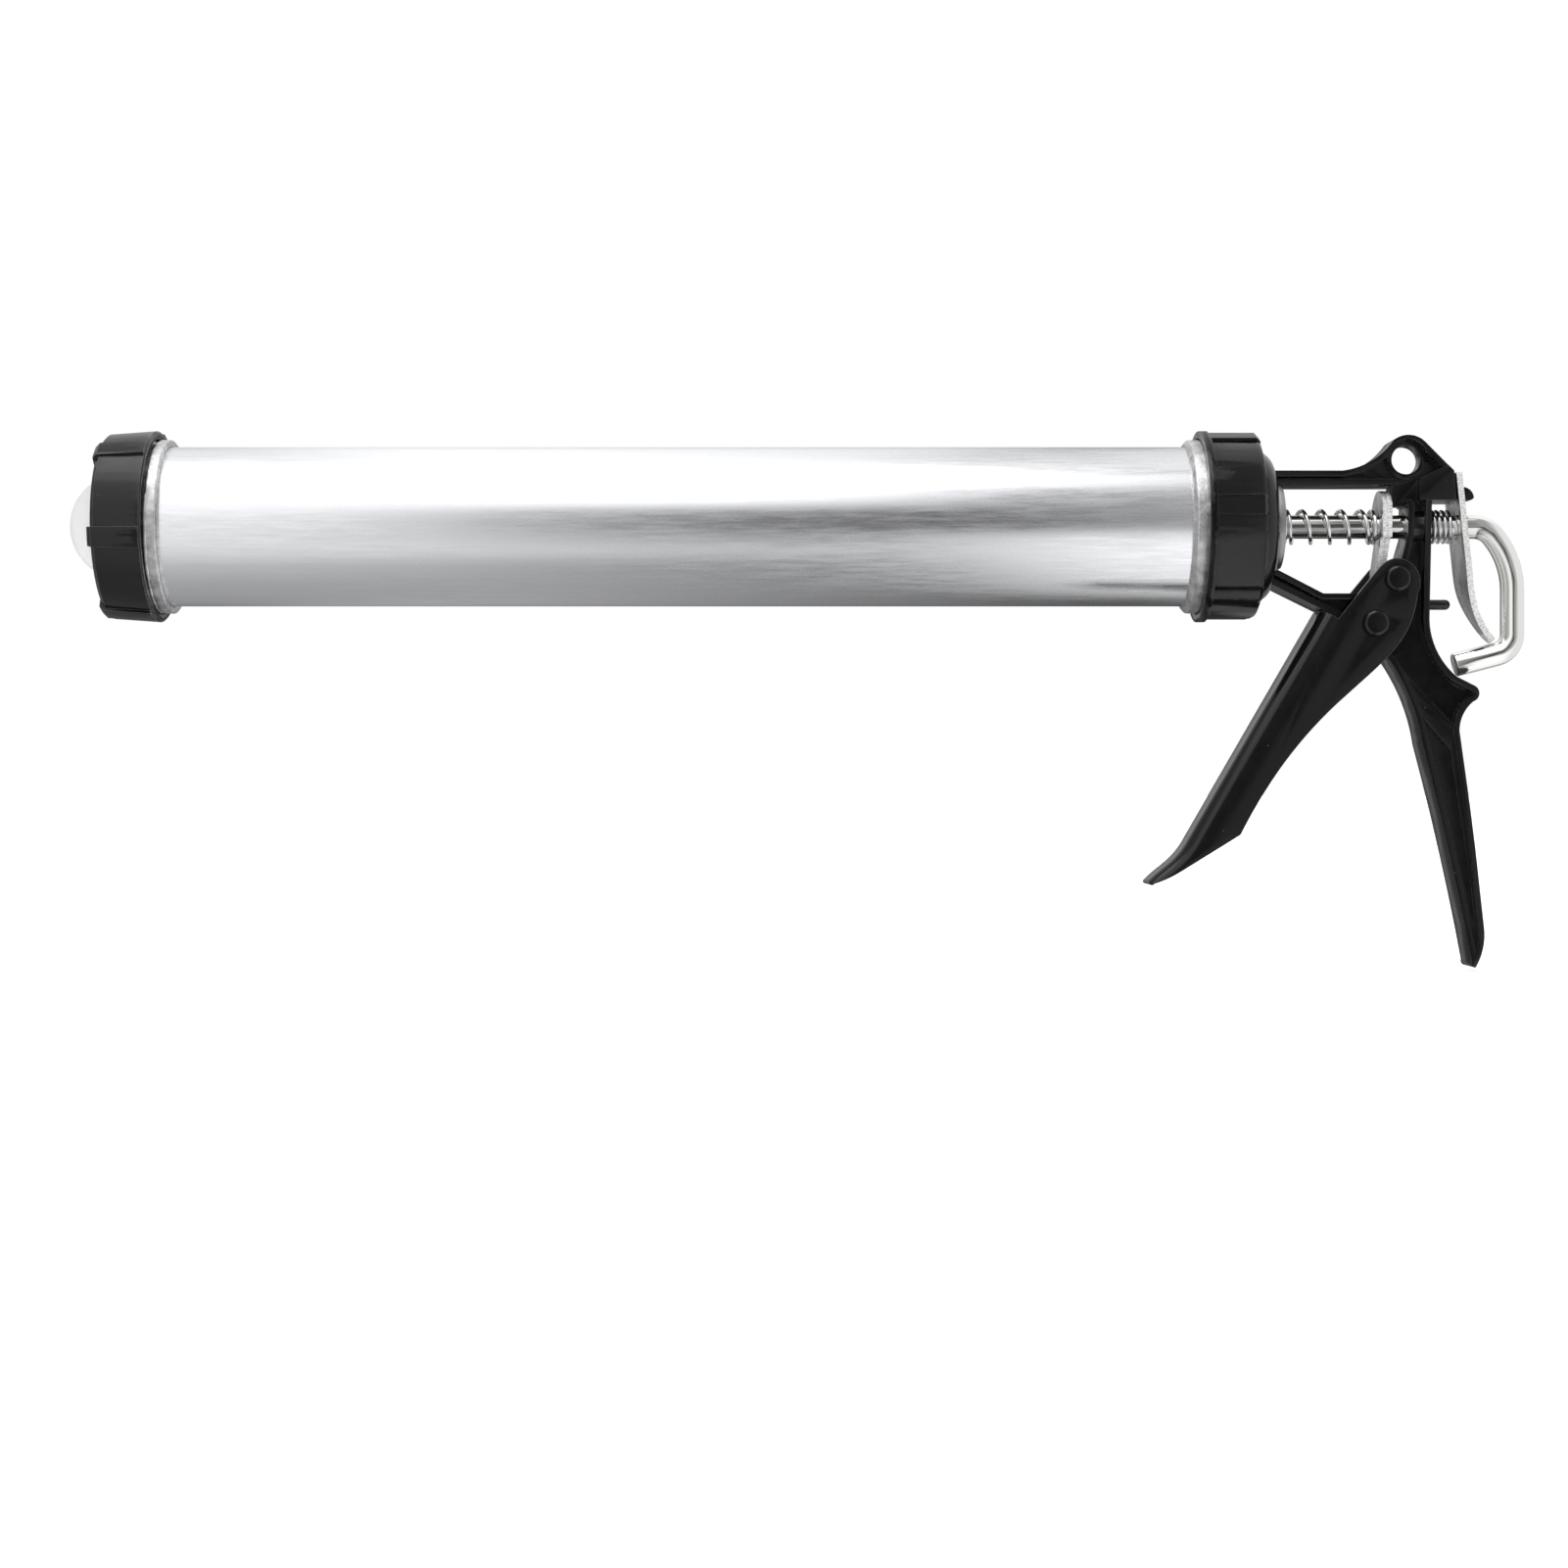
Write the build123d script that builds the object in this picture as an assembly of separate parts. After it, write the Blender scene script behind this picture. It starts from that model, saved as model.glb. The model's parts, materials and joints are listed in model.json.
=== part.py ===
from build123d import *
import math
import os

# Caulking gun with a turning aluminium barrel. Millimetres, +Z up, +X towards the hand.
# Origin: centre of the nozzle outlet, on the barrel's axis. The gun is symmetric about Y = 0,
# except for its caps' grip ribs and its screws.

# Barrel and its two threaded rings
BARREL_R = 27.0
BARREL_WALL = 1.5
BARREL_FRONT = 18.2
BARREL_REAR = 396.6
RING_R = 29.5
THREAD_ROOT_R = 28.4
THREAD_PITCH = 4.0
FRONT_RING_END = 34.6
REAR_RING_START = 377.8
RING_LIP = 1.3
CREST_HALF = 1.3
CREST_FLAT_HALF = 0.5
CREST_LEAD_IN = 2.2
CRESTS = 3

# Screwed caps
CAP_RIBS = 6
RIB_ARC = 12.0
RIB_HEIGHT = 1.0
CAP_BORE_R = 29.8
FRONT_CAP = (13.3, 30.3)
FRONT_CAP_R = (31.3, 32.4)
FRONT_CAP_WALL = 2.1
FRONT_CAP_HOLE_R = 18.7
FRONT_RIB_ANGLE = -11.0
REAR_CAP = (382.8, 402.4)
REAR_CAP_R = 31.2
REAR_CAP_LIP_R = 32.4
REAR_CAP_WALL = 2.0
REAR_CAP_HOLE_R = 25.1
REAR_RIB_ANGLE = 8.5

# Nozzle base: a hollow dome with a flange that the front cap clamps
DOME_R = 18.1
DOME_WALL = 2.0
OUTLET_R = 3.0
OUTLET_BOSS = (6.0, 6.0)
NOZZLE_FLANGE = (15.7, 17.9)
NOZZLE_FLANGE_R = 28.0

# Rod, piston and the hook at the rod's rear end
ROD_R = 4.0
ROD_FRONT = 14.0
ROD_BEND_START = 477.0
HOOK_UPPER_BEND = (8.5, 50.0)
HOOK_BOW = (28.5, 40.0)
HOOK_STRAIGHT = 15.2
HOOK_LOWER_BEND = (7.0, 75.5)
HOOK_STUB = 14.9
PISTON_R = 25.2
PISTON_CUP = (21.9, 30.0)
PISTON_CUP_WALL = 2.2
PISTON_DISC_END = 32.0
NUT_FLATS = 13.0
NUT_HEIGHT = 5.0
WASHER_R = 9.5
WASHER_T = 1.6
WASHER_FRONT = 20.1
WASHER_REAR = 32.3

# Swivel joint between the barrel and the frame
FLANGE = (397.0, 400.0)
FLANGE_R = 28.4
COLLAR_R = 24.8
COLLAR_REAR = 407.7
COLLAR_SHOULDER = (402.7, 25.6)
COLLAR_BULGE = (406.2, 23.7)
COLLAR_FACE_R = 20.0
BUSH_R = 8.0
BUSH_FRONT = 394.5
BUSH_DISC = (407.7, 410.8)
BUSH_DISC_R = 15.3
SCREW_CIRCLE_R = 16.0
SCREW_COUNT = 4
SCREW_R = 2.5
SCREW_HEAD_R = 4.8
SCREW_DEPTH = 5.6

# Die-cast frame: a thin web with wide ribs along its edges
FRAME_HALF = 7.7
WEB_HALF = 3.0
RIB_T = 2.0
BEAM_TOP = 18.4
BEAM_BOTTOM = 13.6
HANG_HOLE = (453.3, 22.5)
HANG_HOLE_R = 4.9
EAR_R = 8.0
EAR_BOSS_R = 6.7
EAR_BOSS_HALF = 3.6
COLUMN_REAR = 461.2
LUG_BOTTOM = 8.5
STOP_FACE = 447.9
ROD_BOSS_R = 6.0
PIVOT_BOSS_R = 8.0
LUG_HALF = 8.2
NUB_HALF = 3.0
POCKET = ((446.4, 452.6), (5.8, 13.6))
ROD_HOLE_R = 4.1
PEG = (460.0, 467.3, -26.5)
PEG_R = 1.75
GRIP_HALF = 7.0
GRIP_PANEL_DEPTH = 0.7

# Trigger: a channel whose two ears straddle the frame
PIVOT = (441.8, -33.3)
PUSHER = (449.2, -18.2)
TRIGGER_HALF = 10.0
TRIGGER_INNER = 8.0
TRIGGER_WALL = 2.4
TRIGGER_ROUND = 4.2
TRIGGER_EAR_R = 6.8
FRONT_WALL = ((423.6, -28.9), (378.8, -106.5))
PIVOT_R = 3.0
PUSHER_PIN_R = 2.2
ROLLER_R = 3.25
RIVET_HEAD_R = 4.4
RIVET_HEAD_H = 1.8
RIVET_HEAD_ROUND = 1.3
RUNNING = 0.06

# Drive plates, release lever and springs
PLATE_FRONT = 444.4
PLATE_T = 1.6
PLATE_HALF = 8.8
PLATE_CORNER = 2.0
PLATE_SHOULDER = 9.6
PLATE_TOP = 12.2
PLATE_HOLE_R = 4.4
LEG_TOP = -4.1
LEG_BOTTOM = -19.6
LEG_HALF = 5.3
LEG_TILT = 8.0
LEVER_TOP = (469.85, 17.7)
LEVER_BEND = (473.6, -18.3)
LEVER_TIP = (483.1, -38.9)
LEVER_T = 2.0
LEVER_HALF = 10.0
LEVER_TIP_HALF = 3.2
LEVER_HOLE_R = 4.5
DRIVE_SPRING = (410.9, 444.2)
DRIVE_SPRING_R = 5.4
DRIVE_WIRE_R = 0.72
DRIVE_PITCH = 6.9
BRAKE_SPRING = (461.4, 469.7)
BRAKE_SPRING_R = 5.2
BRAKE_WIRE_R = 0.6
BRAKE_PITCH = 2.5


def at(x, z):
    """A point of the side view, in the plane Y = 0."""
    return Vector(x, 0, z)


def slab(face, half):
    """A side-view face made into a plate centred on Y = 0."""
    return extrude(face, amount=half, dir=(0, 1, 0), both=True)


def outline(*edges):
    return Face(Wire(list(edges)))


def polygon(points):
    return Face(Wire.make_polygon([at(x, z) for x, z in points], close=True))


def turned(points):
    """A solid of revolution about the barrel's axis from (x, radius) points."""
    return revolve(polygon(points), axis=Axis.X, revolution_arc=360)


def tube(x0, x1, outer, inner):
    return turned([(x0, inner), (x1, inner), (x1, outer), (x0, outer)])


def rod_x(x0, x1, radius):
    """A cylinder along X on the barrel's axis."""
    length = x1 - x0
    return Pos(x0 + length / 2, 0, 0) * Rot(0, 90, 0) * Cylinder(radius, length)


def pin_y(centre, radius, half):
    """A cylinder along Y through a point of the side view."""
    return Pos(centre[0], 0, centre[1]) * Rot(90, 0, 0) * Cylinder(radius, 2 * half)


def grip_ribs(points, first_angle):
    """Equal ribs round a cap, each a short arc of a turned profile."""
    arc = revolve(polygon(points), axis=Axis.X, revolution_arc=RIB_ARC)
    ribs = []
    for i in range(CAP_RIBS):
        # angles are counted from horizontal on the -Y side, upwards
        turn = first_angle + RIB_ARC / 2 + 90 + 360 / CAP_RIBS * i
        ribs.append(Rot(-turn, 0, 0) * Rot(180, 0, 0) * arc)
    return ribs


def thread_ring(x0, x1, collar_x, thread_dir):
    """A cast ring on the barrel: a thread with rounded crests and a plain collar."""
    body = tube(x0, x1, THREAD_ROOT_R, BARREL_R)
    collar = tube(min(collar_x), max(collar_x), RING_R, BARREL_R)
    end = x0 if thread_dir > 0 else x1
    crests = []
    for i in range(CRESTS):
        c = end + thread_dir * (THREAD_PITCH * i + CREST_LEAD_IN)
        crests.append(turned([
            (c - CREST_HALF, BARREL_R), (c + CREST_HALF, BARREL_R),
            (c + CREST_FLAT_HALF, RING_R), (c - CREST_FLAT_HALF, RING_R),
        ]))
    return body + collar + crests


def front_thread_ring():
    return thread_ring(BARREL_FRONT, FRONT_RING_END, (FRONT_CAP[1] - 0.2, FRONT_RING_END), 1)


def rear_thread_ring():
    collar = (REAR_RING_START + RING_LIP, REAR_CAP[0] + 1.2)
    return thread_ring(REAR_RING_START, BARREL_REAR, collar, -1)


def barrel_tube():
    return tube(BARREL_FRONT, BARREL_REAR, BARREL_R, BARREL_R - BARREL_WALL)


def front_cap():
    x0, x1 = FRONT_CAP
    r0, r1 = FRONT_CAP_R
    wall = x0 + FRONT_CAP_WALL
    body = turned([
        (x0, FRONT_CAP_HOLE_R), (x0, r0 - 1.2), (x0 + 1.2, r0), (x1 - 0.5, r1), (x1, r1 - 0.5),
        (x1, CAP_BORE_R), (wall, CAP_BORE_R), (wall, FRONT_CAP_HOLE_R),
    ])
    h = RIB_HEIGHT
    rib = [(x0 - h, r0 - 5.5), (x0 - h, r0 - 0.6), (x0 + 0.6, r0 + h), (x1 - 0.6, r1 + h), (x1 - 0.6, r1 - 1.0),
           (x0 + 1.6, r0 - 1.0), (x0 + 1.6, r0 - 5.5)]
    return body + grip_ribs(rib, FRONT_RIB_ANGLE)


def rear_cap():
    x0, x1 = REAR_CAP
    r = REAR_CAP_R
    wall = x1 - REAR_CAP_WALL
    body = turned([
        (x0, CAP_BORE_R), (x0, REAR_CAP_LIP_R), (x0 + 2.6, REAR_CAP_LIP_R), (x0 + 3.0, r), (x1 - 1.8, r),
        (x1 - 0.5, r - 0.6), (x1, r - 2.0), (x1, REAR_CAP_HOLE_R), (wall, REAR_CAP_HOLE_R), (wall, CAP_BORE_R),
    ])
    h = RIB_HEIGHT
    rib = [(x0 + 1.5, r - 0.8), (x0 + 1.5, r + h), (x1 - 1.6, r + h), (x1 - 0.2, r - 0.4), (x1 - 0.2, r - 3.0),
           (x1 - 1.6, r - 3.0), (x1 - 1.6, r - 0.8)]
    return body + grip_ribs(rib, REAR_RIB_ANGLE)


def nozzle_base():
    """A hollow dome and flange; the sphere is cut by the outlet's rim exactly at X = 0."""
    centre = math.sqrt(DOME_R**2 - OUTLET_R**2)
    inner_r = DOME_R - DOME_WALL
    flange_x0, flange_x1 = NOZZLE_FLANGE
    boss_x, boss_r = OUTLET_BOSS
    diagonal = math.sqrt(0.5)
    foot_r = math.sqrt(DOME_R**2 - (centre - flange_x0) ** 2)
    inside_x = centre - math.sqrt(inner_r**2 - boss_r**2)
    inner_mid = at(centre - inner_r * diagonal, inner_r * diagonal)
    outer_mid = at(centre - DOME_R * diagonal, DOME_R * diagonal)
    profile = outline(
        Line(at(0, OUTLET_R), at(boss_x, OUTLET_R)),
        Line(at(boss_x, OUTLET_R), at(boss_x, boss_r)),
        Line(at(boss_x, boss_r), at(inside_x, boss_r)),
        ThreePointArc(at(inside_x, boss_r), inner_mid, at(centre, inner_r)),
        Line(at(centre, inner_r), at(flange_x1, inner_r)),
        Line(at(flange_x1, inner_r), at(flange_x1, NOZZLE_FLANGE_R)),
        Line(at(flange_x1, NOZZLE_FLANGE_R), at(flange_x0, NOZZLE_FLANGE_R)),
        Line(at(flange_x0, NOZZLE_FLANGE_R), at(flange_x0, foot_r)),
        ThreePointArc(at(flange_x0, foot_r), outer_mid, at(0, OUTLET_R)),
    )
    return revolve(profile, axis=Axis.X, revolution_arc=360)


def rod_path():
    """The rod's line: straight, an upper bend, a slight bow, a straight, a lower bend and a stub."""
    straight = Line(at(ROD_FRONT, 0), at(ROD_BEND_START, 0))
    up_r, up_turn = HOOK_UPPER_BEND
    bow_r, bow_turn = HOOK_BOW
    low_r, low_turn = HOOK_LOWER_BEND
    side = Plane(origin=(0, 0, 0), x_dir=(1, 0, 0), z_dir=(0, -1, 0))
    upper = side * JernArc((ROD_BEND_START, 0), (1, 0), up_r, -up_turn)
    p, d = upper @ 1, upper % 1
    bow = side * JernArc((p.X, p.Z), (d.X, d.Z), bow_r, -bow_turn)
    p = bow @ 1
    drop = Line(p, p - Vector(0, 0, HOOK_STRAIGHT))
    p = drop @ 1
    lower = side * JernArc((p.X, p.Z), (0, -1), low_r, -low_turn)
    p, d = lower @ 1, lower % 1
    stub = Line(p, p + d * HOOK_STUB)
    return Wire([e for piece in (straight, upper, bow, drop, lower, stub) for e in piece.edges()])


def push_rod():
    section = Plane(origin=(ROD_FRONT, 0, 0), z_dir=(1, 0, 0)) * Circle(ROD_R)
    return sweep(section, path=rod_path())


def hex_nut(x0):
    prism = extrude(RegularPolygon(NUT_FLATS / 2, 6, major_radius=False), NUT_HEIGHT)
    return Pos(x0, 0, 0) * Rot(0, 90, 0) * prism - rod_x(x0 - 1, x0 + NUT_HEIGHT + 1, ROD_R)


def washer(x0):
    return tube(x0, x0 + WASHER_T, WASHER_R, ROD_R)


def piston_cup():
    """A shallow cup, open to the rear, whose lip wipes the barrel."""
    x0, x1 = PISTON_CUP
    hub = ROD_R + 0.1
    inner = PISTON_R - PISTON_CUP_WALL
    floor = x0 + 3.2
    return turned([
        (x0, hub), (x0, PISTON_R - 2.0), (x0 + 1.6, PISTON_R - 0.5), (x0 + 4.5, PISTON_R), (x1, PISTON_R),
        (x1, inner), (floor, inner - 0.6), (floor, WASHER_R + 4), (x1, WASHER_R + 3), (x1, hub),
    ])


def piston_disc():
    x1 = PISTON_CUP[1]
    return tube(x1, PISTON_DISC_END, PISTON_R - 3.4, ROD_R + 0.1)


def screw_places():
    return [math.radians(45 + 360 / SCREW_COUNT * i) for i in range(SCREW_COUNT)]


def on_circle(shape, angle):
    return Pos(0, SCREW_CIRCLE_R * math.cos(angle), SCREW_CIRCLE_R * math.sin(angle)) * shape


def countersink(x0, head_r, shank_r):
    """A turned countersunk form whose flat top is at x0, with its point towards +X."""
    x1 = x0 + head_r - shank_r
    return turned([(x0, 0), (x0, head_r), (x1, shank_r), (x1, 0)])


def swivel_flange():
    x0, x1 = FLANGE
    disc = tube(x0, x1, FLANGE_R, BUSH_R)
    for angle in screw_places():
        disc -= on_circle(countersink(x0, SCREW_HEAD_R, SCREW_R), angle)
        disc -= on_circle(rod_x(x0, x1 + 1, SCREW_R), angle)
    return disc


def swivel_screws():
    x0 = FLANGE[0]
    socket = Pos(x0, 0, 0) * Rot(0, 90, 0) * extrude(RegularPolygon(1.5, 6, major_radius=False), 1.6)
    screw = countersink(x0, SCREW_HEAD_R, SCREW_R) + rod_x(x0 + 1, FLANGE[1] + SCREW_DEPTH, SCREW_R) - socket
    return Compound([on_circle(screw, angle) for angle in screw_places()])


def rod_guide_bush():
    """A flanged bush; its flange is cut flat where the frame's beam and strut pass."""
    bush = tube(BUSH_FRONT, BUSH_DISC[1], BUSH_R, ROD_HOLE_R) + tube(*BUSH_DISC, BUSH_DISC_R, ROD_HOLE_R)
    bush -= tube(BUSH_DISC[1] - 0.6, BUSH_DISC[1] + 1, BUSH_DISC_R + 1, BUSH_DISC_R - 0.6)
    top = BEAM_BOTTOM - 0.1
    bush -= Pos(BUSH_DISC[1], 0, top + 5) * Box(20, 40, 10)
    bush -= Pos(BUSH_DISC[1], 0, -14.4 - 5) * Box(20, 40, 10)
    return bush


def frame_outline():
    """The whole side view of the casting, with its window and its hanging hole."""
    ear = at(*HANG_HOLE)

    def on_ear(degrees):
        a = math.radians(degrees)
        return ear + Vector(math.cos(a), 0, math.sin(a)) * EAR_R

    beam_end, ear_start, ear_end = at(431, BEAM_TOP), on_ear(128), on_ear(45)
    lug_top, lug_low = at(468.6, 18.4), at(469.35, LUG_BOTTOM)
    throat, horn_root = at(460.4, -30), at(469.6, -51.2)
    horn_up, horn_tip, horn_low = at(475.3, -54.1), at(477.2, -56.6), at(475.2, -59.6)
    waist, heel, grip_front = at(470.5, -69.5), at(478.8, -136), at(458.0, -74)
    toe, toe_front = at(475.9, -149.6), at(474.6, -147.6)
    neck_front, boss_low, boss_left = at(447, -45.9), at(443.5, -43.2), at(431.9, -32.4)
    left = 405
    outer = outline(
        Line(at(left, BEAM_TOP), beam_end),
        ThreePointArc(beam_end, at(440.6, 21.6), ear_start),
        ThreePointArc(ear_start, on_ear(88), ear_end),
        Line(ear_end, lug_top),
        Line(lug_top, lug_low),
        Line(lug_low, at(COLUMN_REAR, LUG_BOTTOM)),
        Line(at(COLUMN_REAR, LUG_BOTTOM), throat),
        ThreePointArc(throat, at(463.2, -43.2), horn_root),
        Line(horn_root, horn_up),
        ThreePointArc(horn_up, horn_tip, horn_low),
        ThreePointArc(horn_low, at(471.6, -64.3), waist),
        ThreePointArc(waist, at(476.5, -114.7), heel),
        ThreePointArc(heel, at(478.3, -143.8), toe),
        ThreePointArc(toe, at(475.0, -149.2), toe_front),
        ThreePointArc(toe_front, at(466.5, -108.5), grip_front),
        ThreePointArc(grip_front, at(454.2, -59.6), neck_front),
        Line(neck_front, boss_low),
        ThreePointArc(boss_low, at(434.6, -40.4), boss_left),
        Line(boss_left, at(left, -19.1)),
        Line(at(left, -19.1), at(left, BEAM_TOP)),
    )
    pocket_top, pocket_side, pocket_low = at(451.4, -13.4), at(454.6, -18.2), at(450.6, -23.1)
    window = outline(
        Line(at(left, BEAM_BOTTOM), at(STOP_FACE, BEAM_BOTTOM)),
        Line(at(STOP_FACE, BEAM_BOTTOM), at(STOP_FACE, 6.8)),
        Line(at(STOP_FACE, 6.8), at(453.3, 6.8)),
        Line(at(453.3, 6.8), at(453.1, -3.9)),
        Line(at(453.1, -3.9), at(450.8, -11.8)),
        Line(at(450.8, -11.8), pocket_top),
        ThreePointArc(pocket_top, pocket_side, pocket_low),
        Line(pocket_low, at(424.5, -23.1)),
        Line(at(424.5, -23.1), at(left, -13.0)),
        Line(at(left, -13.0), at(left, BEAM_BOTTOM)),
    )
    return outer, window


def collar():
    """The round foot of the frame that turns inside the rear cap."""
    shoulder_x, shoulder_r = COLLAR_SHOULDER
    profile = outline(
        Line(at(FLANGE[1], 0), at(FLANGE[1], COLLAR_R)),
        Line(at(FLANGE[1], COLLAR_R), at(shoulder_x, COLLAR_R)),
        Line(at(shoulder_x, COLLAR_R), at(shoulder_x, shoulder_r)),
        ThreePointArc(at(shoulder_x, shoulder_r), at(*COLLAR_BULGE), at(COLLAR_REAR, COLLAR_FACE_R)),
        Line(at(COLLAR_REAR, COLLAR_FACE_R), at(COLLAR_REAR, 0)),
        Line(at(COLLAR_REAR, 0), at(FLANGE[1], 0)),
    )
    return revolve(profile, axis=Axis.X, revolution_arc=360)


def handle_frame():
    outer, window = frame_outline()
    ear_hole = pin_y(HANG_HOLE, HANG_HOLE_R, 20)
    side = outer - window
    rim_core = offset(outer, -RIB_T) - offset(window, RIB_T)
    ribs = slab(side, FRAME_HALF) - slab(rim_core, FRAME_HALF + 1)
    web = slab(side, WEB_HALF)
    # the grip below the neck is solid, with a shallow panel on each side
    grip_zone = polygon([(444, -42.5), (480, -78.6), (480, -155), (430, -155), (430, -42.5)])
    grip_side = outer & grip_zone
    grip = slab(grip_side, GRIP_HALF)
    panel_top, panel_corner = at(457.8, -64.6), at(467.8, -76.0)
    panel_heel, panel_toe = at(475.5, -131), at(475.0, -134.6)
    panel = outline(
        Line(panel_top, panel_corner),
        Spline(panel_corner, at(471.0, -98), panel_heel, tangents=[(0.1, 0, -1), (0.1, 0, -1)]),
        Line(panel_heel, panel_toe),
        Spline(panel_toe, at(473.4, -127.8), at(461.6, -78), panel_top, tangents=[(-0.25, 0, 1), (-0.3, 0, 1)]),
    )
    panel_cut = slab(panel, GRIP_HALF + 2) - slab(panel, GRIP_HALF - GRIP_PANEL_DEPTH)
    lug_side = polygon([
        (457.1, 15.8), (466.6, 20.35), (468.6, 18.4), (469.35, LUG_BOTTOM), (457.1, LUG_BOTTOM),
    ])
    lug = slab(lug_side, LUG_HALF)
    nub_root, nub_shoulder = at(467, 13.4), at(473.4, 13.3)
    nub_tip, nub_foot, nub_base = at(476.5, 10.1), at(475.3, 9.0), at(467, 9.0)
    nub_side = outline(
        Line(nub_root, nub_shoulder),
        ThreePointArc(nub_shoulder, at(475.5, 12.1), nub_tip),
        ThreePointArc(nub_tip, at(476.2, 9.3), nub_foot),
        Line(nub_foot, nub_base),
        Line(nub_base, nub_root),
    )
    nub = slab(nub_side, NUB_HALF)
    pivot_boss = pin_y(PIVOT, PIVOT_BOSS_R, FRAME_HALF)
    ear_space = pin_y(HANG_HOLE, EAR_BOSS_R, FRAME_HALF + 1)
    ear_boss = pin_y(HANG_HOLE, EAR_BOSS_R, EAR_BOSS_HALF)
    rod_boss = rod_x(453.2, COLUMN_REAR, ROD_BOSS_R)
    peg = rod_x(PEG[0] - 2, PEG[1], PEG_R) + Pos(PEG[1], 0, 0) * Sphere(PEG_R)
    frame = web + (ribs - ear_space) + grip + lug + nub + pivot_boss + ear_boss + rod_boss
    frame += Pos(0, 0, PEG[2]) * peg
    frame -= panel_cut
    # the stop for the drive plates is only as wide as the web
    (x0, x1), (z0, z1) = POCKET
    pocket_side = polygon([(x0, z0), (x1, z0), (x1, z1), (x0, z1)])
    frame -= slab(pocket_side, FRAME_HALF + 1) - slab(pocket_side, WEB_HALF)
    frame += collar()
    frame -= rod_x(390, 411, BUSH_R)
    frame -= rod_x(445, 463, ROD_HOLE_R)
    frame -= ear_hole
    frame -= pin_y(PIVOT, PIVOT_R, 20)
    for angle in screw_places():
        frame -= on_circle(rod_x(FLANGE[1] - 1, FLANGE[1] + SCREW_DEPTH, SCREW_R), angle)
    return frame


def trigger_outline():
    ear_front, ear_mid, notch = at(443.3, -14.2), at(436.4, -22.6), at(429.2, -31.7)
    wall_top, wall_low = at(*FRONT_WALL[0]), at(*FRONT_WALL[1])
    tip_front, tip, tip_rear = at(365.4, -120.3), at(365.6, -121.3), at(367.3, -121.2)
    corner = at(396.2, -104.6)
    pusher, diagonal = at(*PUSHER), math.sqrt(0.5)
    ear_back = pusher + Vector(TRIGGER_EAR_R - 0.1, 0, -4.8)
    ear_round = pusher + Vector(diagonal, 0, diagonal) * TRIGGER_EAR_R
    ear_top = pusher + Vector(0, 0, TRIGGER_EAR_R)
    return outline(
        Line(ear_front, ear_mid),
        Line(ear_mid, notch),
        Line(notch, wall_top),
        Line(wall_top, wall_low),
        Spline(wall_low, at(373.6, -113.1), tip_front, tangents=[(-0.5, 0, -0.87), (-0.66, 0, -0.75)]),
        ThreePointArc(tip_front, tip, tip_rear),
        Spline(tip_rear, at(381.2, -113.9), corner, tangents=[(0.95, 0, 0.3), (0.84, 0, 0.54)]),
        Spline(corner, at(409.6, -82.2), at(428.2, -60.9), at(446.7, -43.6), ear_back,
               tangents=[(0.45, 0, 0.89), (0.12, 0, 1)]),
        ThreePointArc(ear_back, ear_round, ear_top),
        Spline(ear_top, ear_front, tangents=[(-1, 0, 0.1), (-0.75, 0, -0.66)]),
    )


def trigger():
    body = slab(trigger_outline(), TRIGGER_HALF)
    wall_edges = body.edges().filter_by(lambda e: abs(abs(e.center().Y) - TRIGGER_HALF) < 0.01)
    front_edges = wall_edges.filter_by(lambda e: e.center().X < 404 and e.center().Z > -119 and e.length > 15
                                       and abs((e % 0.5).Z) > 0.7)
    body = fillet(front_edges, TRIGGER_ROUND)
    wall_top, wall_low = at(*FRONT_WALL[0]), at(*FRONT_WALL[1])
    run = (wall_low - wall_top).normalized()
    inward = Vector(-run.Z, 0, run.X) * TRIGGER_WALL
    # the channel is open above, behind and below its front wall
    top = wall_top - run * 12 + inward
    low = wall_low - run * 1.5 + inward
    channel = [top, low, at(392, -128), at(480, -100), at(480, 5), at(430, 5)]
    cavity = slab(Face(Wire.make_polygon(channel, close=True)), TRIGGER_INNER)
    inner_edges = cavity.edges().filter_by(lambda e: abs(abs(e.center().Y) - TRIGGER_INNER) < 0.01
                                           and abs((e % 0.5).dot(run)) > 0.999)
    cavity = fillet(inner_edges, TRIGGER_ROUND - 2)
    body -= cavity
    body -= pin_y(PIVOT, PIVOT_R + RUNNING, 20)
    return body - pin_y(PUSHER, PUSHER_PIN_R, 20)


def rivet(centre, shank_r, seat):
    """A rivet with a domed head on each side; seat is where its heads begin."""
    head = Cylinder(RIVET_HEAD_R, RIVET_HEAD_H, align=(Align.CENTER, Align.CENTER, Align.MIN))
    head = fillet(head.faces().sort_by(Axis.Z)[-1].edges(), RIVET_HEAD_ROUND)
    pin = pin_y(centre, shank_r, seat)
    place = Pos(centre[0], 0, centre[1])
    near = place * Rot(90, 0, 0) * Pos(0, 0, seat) * head
    far = place * Rot(-90, 0, 0) * Pos(0, 0, seat) * head
    return pin + near + far


def trigger_pivot_rivet():
    return rivet(PIVOT, PIVOT_R, TRIGGER_HALF + 0.15)


def pusher_rivet():
    return rivet(PUSHER, PUSHER_PIN_R, TRIGGER_HALF)


def pusher_roller():
    return pin_y(PUSHER, ROLLER_R, TRIGGER_INNER - 0.3) - pin_y(PUSHER, PUSHER_PIN_R, 20)


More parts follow.
